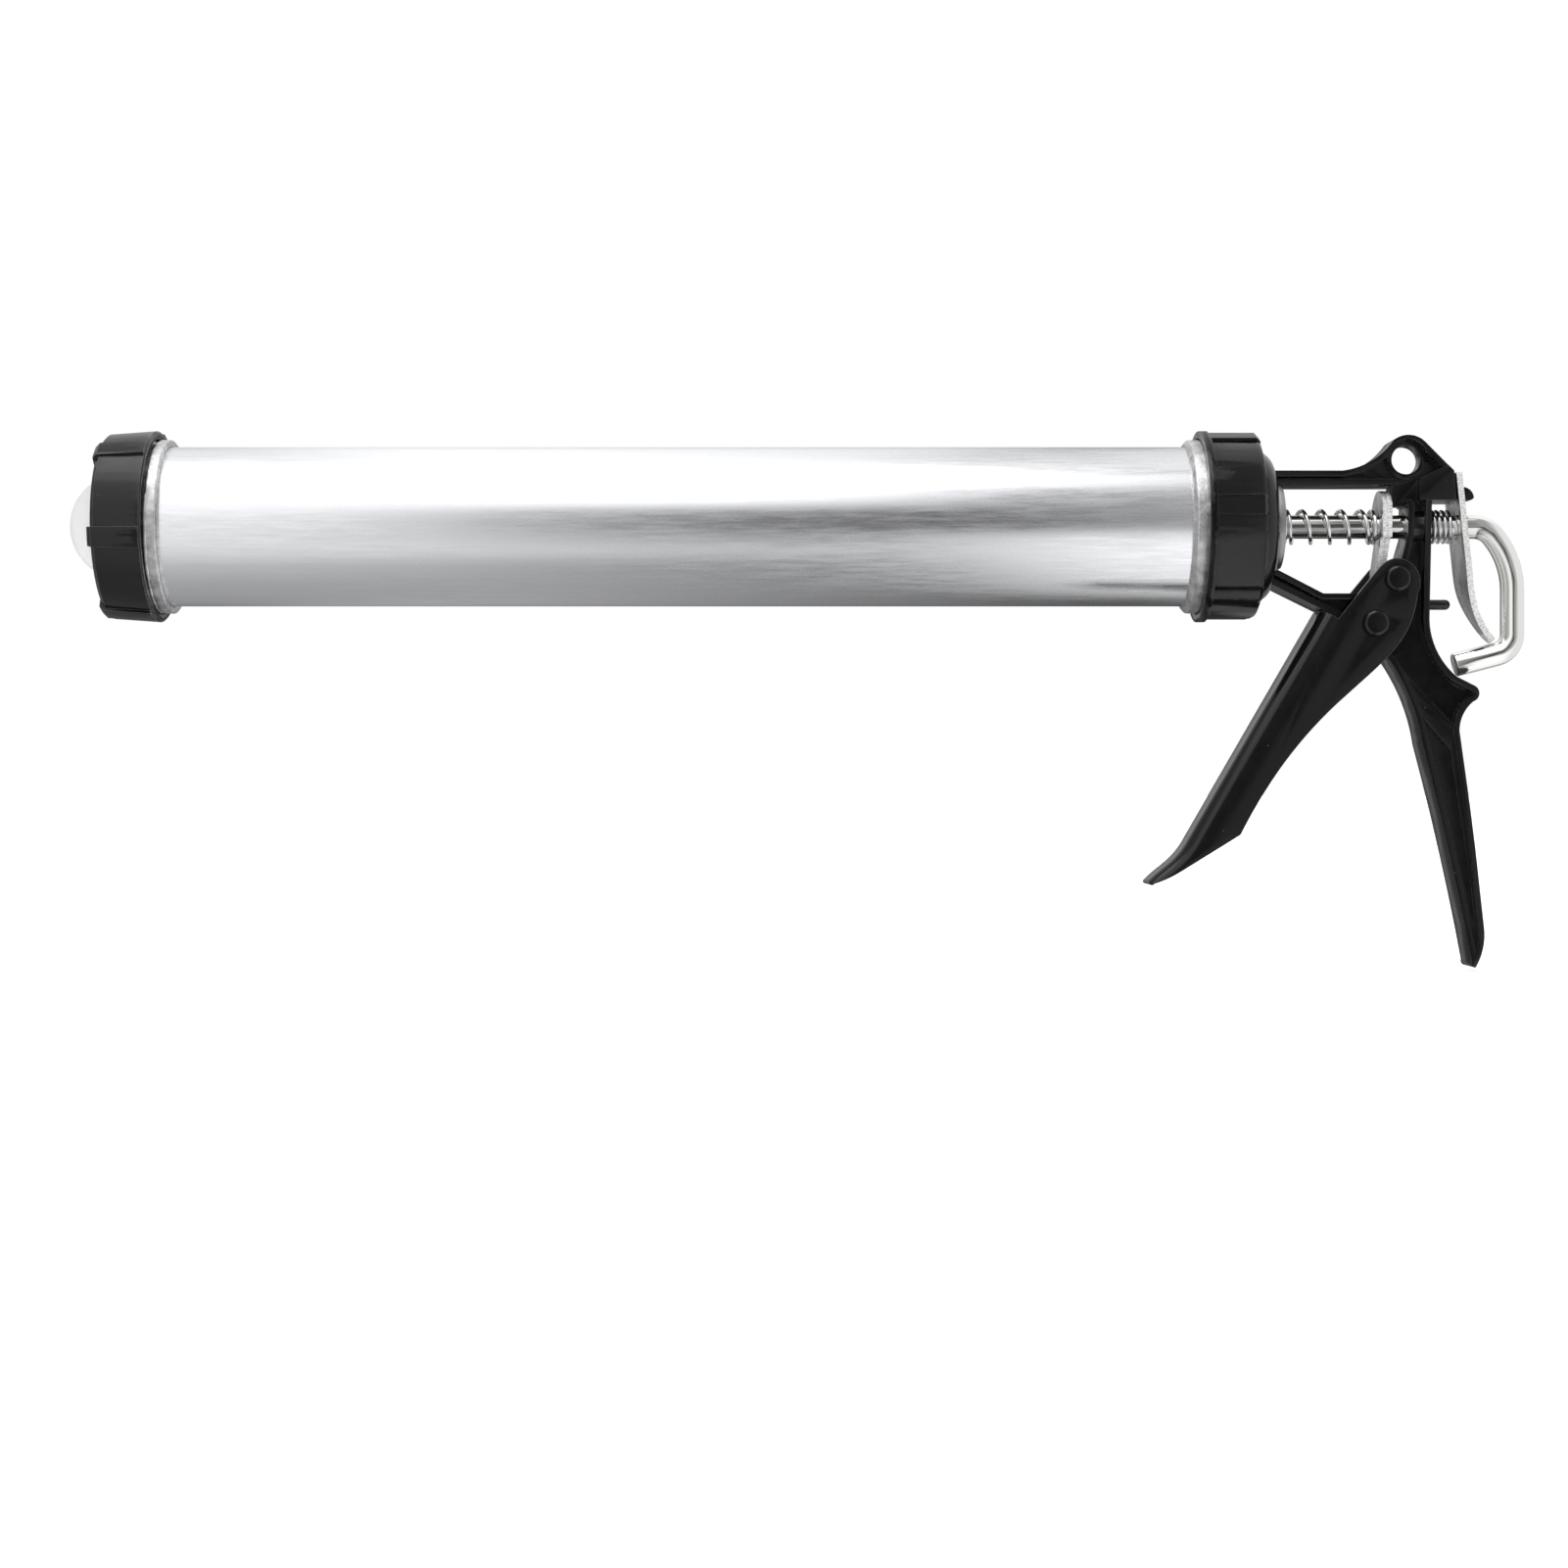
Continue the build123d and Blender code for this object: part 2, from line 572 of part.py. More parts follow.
def drive_plate(x0):
    """One stamped plate: a wide head round the rod and a narrow leg, bent forwards."""
    x1 = x0 + PLATE_T
    across = Plane(origin=(x0, 0, 0), x_dir=(0, 1, 0), z_dir=(1, 0, 0))
    w, s, c = PLATE_HALF, PLATE_SHOULDER, PLATE_CORNER
    head = across * make_face([
        Line((-w, LEG_TOP), (w, LEG_TOP)),
        Line((w, LEG_TOP), (w, s - c)),
        Line((w, s - c), (w - c, s)),
        ThreePointArc((w - c, s), (0, PLATE_TOP), (c - w, s)),
        Line((c - w, s), (-w, s - c)),
        Line((-w, s - c), (-w, LEG_TOP)),
    ])
    lean = math.tan(math.radians(LEG_TILT)) * (LEG_TOP - LEG_BOTTOM)
    leg = slab(polygon([(x0, LEG_TOP + 1), (x1, LEG_TOP + 1), (x1, LEG_TOP), (x1 - lean, LEG_BOTTOM),
                        (x0 - lean, LEG_BOTTOM), (x0, LEG_TOP)]), LEG_HALF)
    return extrude(head, PLATE_T) + leg - rod_x(x0 - 1, x1 + 1, PLATE_HOLE_R)


def drive_plate_front():
    return drive_plate(PLATE_FRONT)


def drive_plate_rear():
    return drive_plate(PLATE_FRONT + PLATE_T)


def coil(ends, radius, wire_r, pitch):
    """A compression spring along X with a plain helix."""
    x0, x1 = ends
    height = x1 - x0 - 2 * wire_r
    path = Helix(pitch, height, radius)
    section = Plane(origin=path @ 0, z_dir=path % 0) * Circle(wire_r)
    spring = sweep(section, path=path, is_frenet=True)
    return Pos(x0 + wire_r, 0, 0) * Rot(0, 90, 0) * spring


def drive_spring():
    return coil(DRIVE_SPRING, DRIVE_SPRING_R, DRIVE_WIRE_R, DRIVE_PITCH)


def brake_spring():
    return coil(BRAKE_SPRING, BRAKE_SPRING_R, BRAKE_WIRE_R, BRAKE_PITCH)


def release_lever():
    """A bent strip: straight past the rod, then curved back to a rounded thumb tip."""
    start, bend, tip = at(*LEVER_TOP), at(*LEVER_BEND), at(*LEVER_TIP)
    straight = (bend - start).normalized()
    arc = TangentArc(bend, tip, tangent=straight)
    square_start = Vector(-straight.Z, 0, straight.X) * (LEVER_T / 2)
    end_run = arc % 1
    square_end = Vector(-end_run.Z, 0, end_run.X) * (LEVER_T / 2)
    strip = slab(outline(
        Line(start + square_start, bend + square_start),
        TangentArc(bend + square_start, tip + square_end, tangent=straight),
        Line(tip + square_end, tip - square_end),
        TangentArc(bend - square_start, tip - square_end, tangent=straight),
        Line(bend - square_start, start - square_start),
        Line(start - square_start, start + square_start),
    ), LEVER_HALF)
    # seen from behind, the strip narrows below the rod to a round tip
    back = Plane(origin=(440, 0, 0), x_dir=(0, 1, 0), z_dir=(1, 0, 0))
    w, t = LEVER_HALF, LEVER_TIP_HALF
    end = LEVER_TIP[1] - 0.75
    shape = back * make_face([
        Line((-w + 2, 18.6), (w - 2, 18.6)),
        ThreePointArc((w - 2, 18.6), (w - 0.6, 18.0), (w, 16.6)),
        Line((w, 16.6), (w, -14)),
        Spline((w, -14), (w - 2.2, -25), (t, end + t), tangents=[(0, -1), (-0.25, -1)]),
        ThreePointArc((t, end + t), (0, end), (-t, end + t)),
        Spline((-t, end + t), (-w + 2.2, -25), (-w, -14), tangents=[(-0.25, 1), (0, 1)]),
        Line((-w, -14), (-w, 16.6)),
        ThreePointArc((-w, 16.6), (-w + 0.6, 18.0), (-w + 2, 18.6)),
    ])
    lever = strip & extrude(shape, 60)
    slot = Pos(470, 0, 11.2) * Box(12, 6.9, 6.6)
    return lever - slot - rod_x(460, 480, LEVER_HOLE_R)


SUB_PARTS = {
    "nozzle_base": nozzle_base,
    "front_cap": front_cap,
    "front_thread_ring": front_thread_ring,
    "barrel_tube": barrel_tube,
    "rear_thread_ring": rear_thread_ring,
    "rear_cap": rear_cap,
    "piston_cup": piston_cup,
    "piston_disc": piston_disc,
    "push_rod": push_rod,
    "rod_end_washer": lambda: washer(WASHER_FRONT),
    "rod_end_nut": lambda: hex_nut(WASHER_FRONT - NUT_HEIGHT),
    "rod_rear_washer": lambda: washer(WASHER_REAR),
    "rod_rear_nut": lambda: hex_nut(WASHER_REAR + WASHER_T),
    "swivel_flange": swivel_flange,
    "swivel_screws": swivel_screws,
    "rod_guide_bush": rod_guide_bush,
    "handle_frame": handle_frame,
    "trigger": trigger,
    "trigger_pivot_rivet": trigger_pivot_rivet,
    "pusher_rivet": pusher_rivet,
    "pusher_roller": pusher_roller,
    "drive_plate_front": drive_plate_front,
    "drive_plate_rear": drive_plate_rear,
    "drive_spring": drive_spring,
    "brake_spring": brake_spring,
    "release_lever": release_lever,
}


def main():
    os.makedirs("parts", exist_ok=True)
    for node, make in SUB_PARTS.items():
        export_step(make(), f"parts/{node}.step")


if __name__ == "__main__":
    main()
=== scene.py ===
import json
import math

import bmesh
import bpy
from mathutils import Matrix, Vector, noise

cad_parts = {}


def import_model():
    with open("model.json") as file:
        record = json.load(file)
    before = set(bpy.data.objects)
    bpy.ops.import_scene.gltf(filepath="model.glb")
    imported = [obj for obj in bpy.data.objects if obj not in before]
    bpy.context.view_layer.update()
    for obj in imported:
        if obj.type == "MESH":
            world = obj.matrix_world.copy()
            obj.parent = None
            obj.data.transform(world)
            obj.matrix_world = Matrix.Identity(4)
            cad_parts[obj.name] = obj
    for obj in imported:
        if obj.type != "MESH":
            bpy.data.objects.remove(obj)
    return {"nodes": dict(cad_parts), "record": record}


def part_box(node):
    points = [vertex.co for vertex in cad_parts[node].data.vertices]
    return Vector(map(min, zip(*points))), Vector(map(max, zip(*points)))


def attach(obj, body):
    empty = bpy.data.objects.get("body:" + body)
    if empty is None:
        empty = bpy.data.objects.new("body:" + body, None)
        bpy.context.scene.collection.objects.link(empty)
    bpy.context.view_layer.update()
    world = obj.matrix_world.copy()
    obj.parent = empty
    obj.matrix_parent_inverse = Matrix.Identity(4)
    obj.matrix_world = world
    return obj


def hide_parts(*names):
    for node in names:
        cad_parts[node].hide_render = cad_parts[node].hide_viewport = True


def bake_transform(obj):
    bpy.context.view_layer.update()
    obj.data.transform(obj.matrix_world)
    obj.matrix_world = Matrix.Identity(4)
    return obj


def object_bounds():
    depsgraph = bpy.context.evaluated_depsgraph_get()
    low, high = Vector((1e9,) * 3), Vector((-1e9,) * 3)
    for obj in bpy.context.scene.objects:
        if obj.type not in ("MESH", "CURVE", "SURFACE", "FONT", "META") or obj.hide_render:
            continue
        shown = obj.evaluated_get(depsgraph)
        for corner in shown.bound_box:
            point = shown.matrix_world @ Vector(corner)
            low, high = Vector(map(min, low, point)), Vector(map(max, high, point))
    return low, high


# Looks of a caulking gun: a satin aluminium barrel, black painted castings and bright steel, in a white studio.
# Everything is in metres in the CAD frame: +X runs from the nozzle to the hand, and +Z is up.

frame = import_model()
cad_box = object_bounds()
scene = bpy.context.scene
MM = 0.001
BODY_OF = {node: body for body, nodes in frame["record"]["behaviour"]["bodies"].items() for node in nodes}
SLOT_OF = {part["node"]: part["material_slot"] for part in frame["record"]["subparts"]}


# ---------------------------------------------------------------- materials

class Shader:
    """A procedural material: a Principled shader and short calls that add the nodes before it."""

    def __init__(self, name, colour, metallic, roughness, **sockets):
        self.material = bpy.data.materials.new(name)
        self.material.use_nodes = True
        self.tree = self.material.node_tree
        self.surface = self.tree.nodes["Principled BSDF"]
        self.place = self.tree.nodes.new("ShaderNodeTexCoord").outputs["Object"]
        self.set("Base Color", (*colour, 1))
        self.set("Metallic", metallic)
        self.set("Roughness", roughness)
        for socket, value in sockets.items():
            self.set(socket.replace("_", " "), value)

    def set(self, socket, value):
        self.surface.inputs[socket].default_value = value

    def link(self, source, socket):
        self.tree.links.new(source, self.surface.inputs[socket])

    def add(self, kind, settings=(), **inputs):
        node = self.tree.nodes.new("ShaderNode" + kind)
        for name, value in dict(settings).items():
            setattr(node, name, value)
        for name, value in inputs.items():
            socket = node.inputs[int(name[1:])] if name[0] == "i" and name[1:].isdigit() else node.inputs[name]
            if isinstance(value, bpy.types.NodeSocket):
                self.tree.links.new(value, socket)
            else:
                socket.default_value = value
        return node

    def stretched(self, scale):
        """Object coordinates scaled along each axis, so that a texture runs in streaks."""
        return self.add("Mapping", Vector=self.place, Scale=scale).outputs["Vector"]

    def noise(self, scale, detail, roughness, at=None):
        node = self.add("TexNoise", Vector=at or self.place, Scale=scale, Detail=detail, Roughness=roughness)
        return node.outputs["Fac"]

    def cells(self, scale):
        node = self.add("TexVoronoi", Vector=self.place, Scale=scale)
        return node.outputs["Distance"]

    def spread(self, value, low, high, to_low, to_high):
        node = self.add("MapRange", i0=value, i1=low, i2=high, i3=to_low, i4=to_high)
        return node.outputs["Result"]

    def maths(self, operation, a, b):
        return self.add("Math", {"operation": operation}, i0=a, i1=b).outputs["Value"]

    def blend(self, factor, a, b):
        node = self.add("Mix", {"data_type": "RGBA"}, i0=factor)
        for socket, value in ((node.inputs[6], a), (node.inputs[7], b)):
            if isinstance(value, bpy.types.NodeSocket):
                self.tree.links.new(value, socket)
            else:
                socket.default_value = (*value, 1)
        return node.outputs[2]

    def bump(self, height, depth, strength=1.0, before=None):
        node = self.add("Bump", Height=height, Distance=depth, Strength=strength)
        if before is not None:
            self.tree.links.new(before, node.inputs["Normal"])
        return node.outputs["Normal"]


def barrel_aluminium():
    """Extruded and lightly brushed tube: fine lines run along it."""
    s = Shader("barrel_aluminium", (0.86, 0.87, 0.89), 1.0, 0.3)
    fine = s.noise(1.0, 4, 0.6, s.stretched((9, 2600, 2600)))
    broad = s.noise(1.0, 3, 0.5, s.stretched((2.5, 420, 420)))
    scuffs = s.noise(1.0, 5, 0.65, s.stretched((60, 900, 900)))
    lines = s.maths("MULTIPLY", fine, 0.6)
    lines = s.maths("ADD", lines, s.maths("MULTIPLY", broad, 0.5))
    s.link(s.blend(lines, (0.80, 0.81, 0.84), (0.93, 0.935, 0.95)), "Base Color")
    s.link(s.spread(scuffs, 0.3, 0.75, 0.2, 0.36), "Roughness")
    first = s.bump(fine, 0.012 * MM, 0.5)
    s.link(s.bump(broad, 0.02 * MM, 0.45, first), "Normal")
    return s.material


def cast_aluminium():
    """Rough die-cast metal, mottled, with small pits."""
    s = Shader("cast_aluminium", (0.66, 0.66, 0.66), 1.0, 0.42)
    mottle = s.noise(260, 5, 0.65)
    grain = s.noise(1400, 4, 0.6)
    pits = s.spread(s.cells(420), 0.0, 0.22, 0.0, 1.0)
    s.link(s.blend(s.spread(mottle, 0.32, 0.7, 0, 1), (0.42, 0.42, 0.43), (0.86, 0.86, 0.85)), "Base Color")
    s.link(s.spread(grain, 0.3, 0.7, 0.28, 0.55), "Roughness")
    first = s.bump(mottle, 0.35 * MM, 0.6)
    second = s.bump(grain, 0.08 * MM, 0.7, first)
    s.link(s.bump(pits, 0.15 * MM, 0.35, second), "Normal")
    return s.material


def black_paint(name, orange_peel, roughness, refraction):
    """Gloss black paint on a casting: orange peel this deep in millimetres, dust nibs and duller patches."""
    s = Shader(name, (0.004, 0.004, 0.0045), 0.0, roughness, IOR=refraction)
    peel = s.noise(520, 2, 0.5)
    drift = s.noise(70, 3, 0.5)
    nib = s.cells(150)
    dust = s.spread(nib, 0.018, 0.03, 1.0, 0.0)
    s.link(s.blend(dust, s.blend(drift, (0.003, 0.003, 0.0035), (0.006, 0.006, 0.0065)), (0.13, 0.12, 0.11)),
           "Base Color")
    s.link(s.spread(s.noise(190, 4, 0.6), 0.3, 0.7, roughness * 0.75, roughness * 1.5), "Roughness")
    first = s.bump(peel, orange_peel * MM, 0.5)
    s.link(s.bump(dust, 0.04 * MM, 0.8, first), "Normal")
    return s.material


def painted_edge_highlight():
    """Lighter grey paint on a casting's rounded edges: a painted highlight that draws thin light lines along
    every edge.
    """
    s = Shader("painted_edge_highlight", (0.03, 0.03, 0.03), 0.0, 0.3, IOR=1.6)
    highlight_patches = s.spread(s.noise(240, 4, 0.65), 0.35, 0.7, 0, 1)
    # the grey in patches along the rounded edges is painted highlight
    s.link(s.blend(highlight_patches, (0.07, 0.07, 0.071), (0.26, 0.26, 0.26)), "Base Color")
    s.link(s.spread(s.noise(700, 2, 0.5), 0.3, 0.7, 0.22, 0.4), "Roughness")
    s.link(s.bump(s.noise(900, 2, 0.5), 0.01 * MM, 0.4), "Normal")
    return s.material


def zinc(name, colour, roughness):
    """Zinc-plated stamped steel: cloudy plating over faint rolling lines."""
    s = Shader(name, colour, 1.0, roughness)
    cloud = s.noise(170, 4, 0.6)
    lines = s.noise(1.0, 4, 0.6, s.stretched((500, 500, 90)))
    light = tuple(min(1.0, c * 1.16) for c in colour)
    dark = tuple(c * 0.8 for c in colour)
    s.link(s.blend(s.spread(cloud, 0.3, 0.7, 0, 1), dark, light), "Base Color")
    s.link(s.spread(lines, 0.3, 0.7, roughness * 0.75, roughness * 1.35), "Roughness")
    s.link(s.bump(lines, 0.03 * MM, 0.5, s.bump(cloud, 0.08 * MM, 0.3)), "Normal")
    return s.material


def stamped_edge():
    """The sheared, torn edge of the drive plates and of the release lever."""
    s = Shader("stamped_edge", (0.78, 0.78, 0.78), 0.4, 0.3)
    tear = s.noise(1.0, 5, 0.7, s.stretched((900, 300, 1900)))
    s.link(s.blend(s.spread(tear, 0.35, 0.65, 0, 1), (0.45, 0.45, 0.45), (0.95, 0.95, 0.94)), "Base Color")
    s.link(s.spread(tear, 0.3, 0.7, 0.18, 0.5), "Roughness")
    s.link(s.bump(tear, 0.22 * MM, 0.9), "Normal")
    return s.material


def bright_rod():
    """Drawn and plated rod, with faint drawing lines and a slight warm cast."""
    s = Shader("bright_rod", (0.80, 0.79, 0.76), 1.0, 0.1)
    cloud = s.noise(60, 3, 0.5)
    marks = s.noise(1.0, 4, 0.6, s.stretched((120, 1500, 1500)))
    s.link(s.blend(cloud, (0.86, 0.86, 0.85), (0.83, 0.82, 0.785)), "Base Color")
    s.link(s.spread(marks, 0.35, 0.75, 0.06, 0.17), "Roughness")
    s.link(s.bump(marks, 0.01 * MM, 0.35), "Normal")
    return s.material


def turned_steel():
    """A faced disc: its tool marks run round the rod."""
    s = Shader("turned_steel", (0.36, 0.36, 0.36), 1.0, 0.42)
    rings = s.add("TexWave", {"wave_type": "RINGS", "rings_direction": "X"}, Vector=s.place, Scale=700.0,
                  Distortion=1.2, Detail=2.0).outputs["Fac"]
    cloud = s.noise(120, 3, 0.5)
    s.link(s.blend(cloud, (0.30, 0.30, 0.31), (0.44, 0.44, 0.44)), "Base Color")
    s.link(s.bump(rings, 0.015 * MM, 0.6), "Normal")
    return s.material


def white_plastic():
    """Smooth moulded white plastic, slightly translucent."""
    s = Shader("white_plastic", (0.74, 0.74, 0.735), 0.0, 0.34, Subsurface_Weight=0.2, Subsurface_Scale=0.004)
    haze = s.noise(140, 3, 0.5)
    s.link(s.blend(haze, (0.70, 0.70, 0.70), (0.76, 0.76, 0.755)), "Base Color")
    s.link(s.spread(haze, 0.3, 0.7, 0.28, 0.42), "Roughness")
    s.link(s.bump(s.noise(900, 2, 0.5), 0.02 * MM, 0.4), "Normal")
    return s.material


def seal_plastic():
    """Dull black moulded seal."""
    s = Shader("seal_plastic", (0.03, 0.03, 0.03), 0.0, 0.55)
    grain = s.noise(900, 4, 0.6)
    s.link(s.blend(grain, (0.022, 0.022, 0.023), (0.045, 0.045, 0.044)), "Base Color")
    s.link(s.bump(grain, 0.05 * MM, 0.5), "Normal")
    return s.material


def studio_floor():
    s = Shader("studio_floor", (0.93, 0.93, 0.93), 0.0, 0.9, Emission_Color=(1, 1, 1, 1), Emission_Strength=0.5)
    s.link(s.blend(s.noise(3, 2, 0.5), (0.92, 0.92, 0.92), (0.94, 0.94, 0.94)), "Base Color")
    return s.material


PAINT = black_paint("black_paint", 0.008, 0.15, 1.45)
CAP_PAINT = black_paint("cap_paint", 0.09, 0.11, 1.4)
EDGE_HIGHLIGHT_PAINT = painted_edge_highlight()
EDGE = stamped_edge()
MATERIAL = {
    "barrel_aluminium": barrel_aluminium(),
    "cast_ring": cast_aluminium(),
    "zinc_steel": zinc("zinc_steel", (0.74, 0.74, 0.74), 0.26),
    "spring_steel": zinc("spring_steel", (0.84, 0.84, 0.84), 0.13),
    "rod_steel": bright_rod(),
    "bush_steel": turned_steel(),
    "white_plastic": white_plastic(),
    "seal_plastic": seal_plastic(),
}


# ---------------------------------------------------------------- pieces

WELD = 0.003
FLAT_DEGREES = 0.7
CREASE_DEGREES = 28
BEVEL_SEGMENTS = 3
ACROSS = 0.8


def new_piece(name, mesh, node, material):
    """A piece that stands for a CAD node, in the given material; the CAD node is hidden."""
    piece = bpy.data.objects.new(name, mesh)
    scene.collection.objects.link(piece)
    indices = [polygon.material_index for polygon in mesh.polygons]
    mesh.materials.clear()
    mesh.materials.append(material)
    mesh.polygons.foreach_set("material_index", indices)
    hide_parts(node)
    return piece


def smooth(mesh, degrees):
    mesh.shade_smooth()
    mesh.set_sharp_from_angle(angle=math.radians(degrees))


def with_bevel(name, node, width, material, edge=None, across=None):
    """A copy of a CAD node's surface whose sharp edges are rounded in real geometry.

    The rounded edges may take a material of their own, and so may the faces that lie across the barrel's axis.
    """
    mesh = frame["nodes"][node].data.copy()
    bm = bmesh.new()
    bm.from_mesh(mesh)
    bmesh.ops.remove_doubles(bm, verts=bm.verts, dist=WELD * MM)
    bmesh.ops.dissolve_limit(bm, angle_limit=math.radians(FLAT_DEGREES), verts=bm.verts, edges=bm.edges)
    bm.to_mesh(mesh)
    bm.free()
    mesh.shade_smooth()
    shaper = bpy.data.objects.new("shaper", mesh)
    scene.collection.objects.link(shaper)
    bevel = shaper.modifiers.new("edges", "BEVEL")
    bevel.width = width * MM
    bevel.segments = BEVEL_SEGMENTS
    bevel.limit_method = "ANGLE"
    bevel.angle_limit = math.radians(CREASE_DEGREES)
    bevel.harden_normals = True
    bevel.miter_outer = "MITER_ARC"
    others = [extra for extra in (edge, across) if extra]
    for slot_material in (material, *others):
        mesh.materials.append(slot_material)
    bevel.material = 1 if edge else -1
    bpy.context.view_layer.update()
    shaped = bpy.data.meshes.new_from_object(shaper.evaluated_get(bpy.context.evaluated_depsgraph_get()))
    bpy.data.objects.remove(shaper)
    if across:
        for polygon in shaped.polygons:
            if abs(polygon.normal.x) > ACROSS:
                polygon.material_index = len(others)
    piece = new_piece(name, shaped, node, material)
    for extra in others:
        shaped.materials.append(extra)
    return piece


def lathe(points, segments, displace=None):
    """A mesh turned about the barrel's axis from (x, radius) points in millimetres."""
    bm = bmesh.new()
    rings = []
    for x, r in points:
        ring = []
        for i in range(segments):
            a = 2 * math.pi * i / segments
            spot = Vector((x, r * math.cos(a), r * math.sin(a)))
            if displace:
                spot = displace(spot)
            ring.append(bm.verts.new(spot * MM))
        rings.append(ring)
    for j, ring in enumerate(rings):
        after = rings[(j + 1) % len(rings)]
        for i in range(segments):
            k = (i + 1) % segments
            bm.faces.new((ring[i], ring[k], after[k], after[i]))
    bmesh.ops.recalc_face_normals(bm, faces=bm.faces)
    mesh = bpy.data.meshes.new("lathe")
    bm.to_mesh(mesh)
    bm.free()
    return mesh


def rounded(corners, radius, steps=4):
    """A closed outline of (x, r) corners with each corner rounded by a short curve."""
    out = []
    for i, corner in enumerate(corners):
        here = Vector(corner)
        back = Vector(corners[i - 1]) - here
        ahead = Vector(corners[(i + 1) % len(corners)]) - here
        cut = min(radius, back.length * 0.45, ahead.length * 0.45)
        a, b = here + back.normalized() * cut, here + ahead.normalized() * cut
        for n in range(steps + 1):
            t = n / steps
            out.append(tuple(a * (1 - t) ** 2 + here * 2 * t * (1 - t) + b * t * t))
    return out


def swept(centres, section):
    """A closed mesh swept along points; section(direction, k) gives the ring round point k."""
    bm = bmesh.new()
    rings = []
    for k, spot in enumerate(centres):
        before = centres[max(k - 1, 0)]
        after = centres[min(k + 1, len(centres) - 1)]
        rings.append([bm.verts.new(p * MM) for p in section(spot, (after - before).normalized(), k)])
    for ring, after in zip(rings, rings[1:]):
        count = len(ring)
        for i in range(count):
            j = (i + 1) % count
            bm.faces.new((ring[i], ring[j], after[j], after[i]))
    bm.faces.new(rings[0])
    bm.faces.new(list(reversed(rings[-1])))
    bmesh.ops.recalc_face_normals(bm, faces=bm.faces)
    mesh = bpy.data.meshes.new("swept")
    bm.to_mesh(mesh)
    bm.free()
    return mesh


def join(meshes):
    """One mesh from several."""
    bm = bmesh.new()
    for mesh in meshes:
        bm.from_mesh(mesh)
    whole = bpy.data.meshes.new("joined")
    bm.to_mesh(whole)
    bm.free()
    return whole


# -- barrel and rings

BARREL_R, BARREL_BORE = 27.0, 25.5
BARREL_SIDES, RING_SIDES = 192, 240
RING_R, THREAD_ROOT, THREAD_CREST = 29.5, 28.3, 29.45
RING_SEAT = BARREL_R + 0.02
RING_CORNER = 0.55
THREAD_PITCH = 4.0
THREAD_STEPS = 96
THREAD_START_FADE, THREAD_END_FADE = 9, 14
FRONT_THREAD = {"turns": 3.0, "end_angle": math.radians(39), "direction": 1}
REAR_THREAD = {"turns": 2.6, "end_angle": math.radians(120), "direction": -1}
THREAD_MARGIN = 1.4
# frequency and depth of each swell in the castings' skin, and how far all of it lies inside the CAD surface
CAST_SWELLS = ((0.22, 0.16), (0.9, 0.07))
CAST_INSET = 0.12


def barrel():
    low, high = (corner.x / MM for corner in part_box("barrel_tube"))
    corners = [(low, BARREL_BORE), (high, BARREL_BORE), (high, BARREL_R), (low, BARREL_R)]
    mesh = lathe(rounded(corners, 0.3, 3), BARREL_SIDES)
    smooth(mesh, 40)
    piece = new_piece("barrel_skin", mesh, "barrel_tube", MATERIAL["barrel_aluminium"])
    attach(piece, BODY_OF["barrel_tube"])


def cast_wobble(spot):
    """Moves an outer point in by a little, as a rough casting's surface would be."""
    swing = sum(noise.noise(spot * frequency) * depth for frequency, depth in CAST_SWELLS)
    radial = Vector((0, spot.y, spot.z))
    if radial.length <= BARREL_R + 0.4:
        return spot
    return spot - radial.normalized() * (CAST_INSET + swing)


def thread_ridge(x_start, turns, end_angle, direction):
    """A helical ridge with a rounded crest that fades out at both ends."""
    steps = int(turns * THREAD_STEPS)
    centres, scale = [], []
    for k in range(steps + 1):
        t = k / steps
        a = end_angle + 2 * math.pi * turns * (t - 1)
        x = x_start + direction * THREAD_PITCH * turns * t
        centres.append(Vector((x, -math.cos(a) * THREAD_ROOT, math.sin(a) * THREAD_ROOT)))
        scale.append(min(1.0, t * turns * THREAD_START_FADE, (1 - t) * turns * THREAD_END_FADE))

    def section(spot, _, k):
        out = Vector((0, spot.y, spot.z)).normalized()
        rise = (THREAD_CREST - THREAD_ROOT) * scale[k]
        return [spot + Vector((dx, 0, 0)) + out * dr for dx, dr in
                ((-1.15, -0.3), (1.15, -0.3), (1.1, 0.0), (0.62, rise * 0.9), (0.25, rise), (-0.25, rise),
                 (-0.62, rise * 0.9), (-1.1, 0.0))]

    return swept(centres, section)


def thread_ring(node, collar, thread_start, turns, end_angle, direction):
    low, high = (corner.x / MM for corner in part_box(node))
    c0, c1 = collar
    seat = [(low, RING_SEAT), (high, RING_SEAT)]
    if direction > 0:
        corners = seat + [(high, RING_R), (c0, RING_R), (c0, THREAD_ROOT), (low, THREAD_ROOT)]
    else:
        corners = seat + [(high, THREAD_ROOT), (c1, THREAD_ROOT), (c1, RING_R), (c0, RING_R),
                          (low + 0.1, THREAD_ROOT - 0.3)]
    body = lathe(rounded(corners, RING_CORNER), RING_SIDES, cast_wobble)
    ridge = thread_ridge(thread_start, turns, end_angle, direction)
    mesh = join([body, ridge])
    smooth(mesh, 50)
    piece = new_piece(node + "_cast", mesh, node, MATERIAL["cast_ring"])
    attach(piece, BODY_OF[node])


# -- springs

COIL_STEPS, WIRE_SIDES = 48, 14
CLOSED_PITCH = 2.05
SPRING_END_GAP = 0.25
DRIVE_SPRING = {"radius": 5.4, "wire": 0.72, "turns_open": 4.2, "turns_closed": 1.2, "start_angle": 2.2}
BRAKE_SPRING = {"radius": 5.2, "wire": 0.6, "turns_open": 2.6, "turns_closed": 0.7, "start_angle": 0.4}


